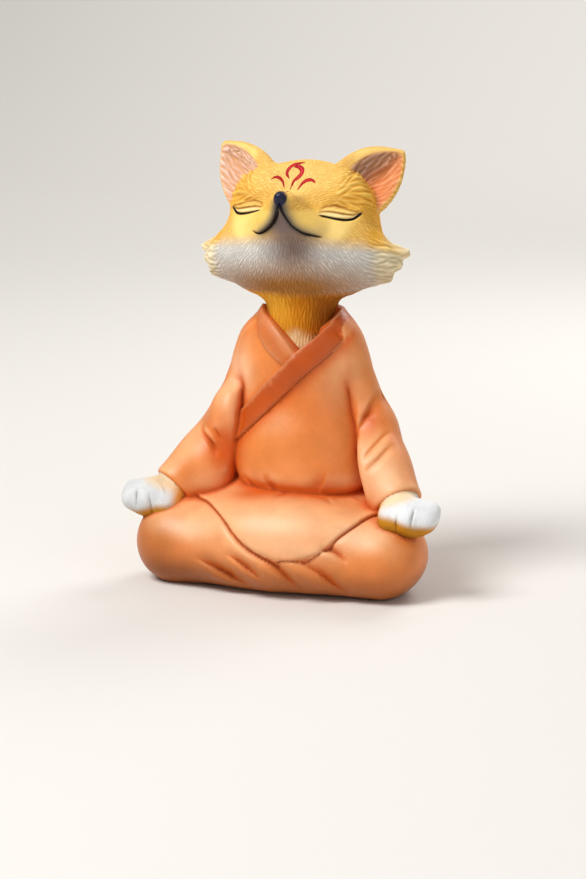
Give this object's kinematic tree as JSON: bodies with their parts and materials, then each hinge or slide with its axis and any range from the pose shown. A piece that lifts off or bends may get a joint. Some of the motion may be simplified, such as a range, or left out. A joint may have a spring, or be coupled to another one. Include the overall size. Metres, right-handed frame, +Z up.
{
  "type": "fox figurine",
  "caption": "Seated fox figurine in a wrapped monk's robe, meditating with closed eyes, raised muzzle and paws on its knees.",
  "frame": {"origin": "middle of the flat underside that the figurine stands on", "axes": "+Z up through the head, -Y the way the fox faces, +X towards the fox's own left paw"},
  "size_m": [0.1017, 0.0597, 0.1333],
  "materials": {
    "painted_resin": "satin hand-painted cast resin"
  },
  "bodies": {
    "root": {"fox_figurine": "painted_resin"}
  },
  "joints": []
}
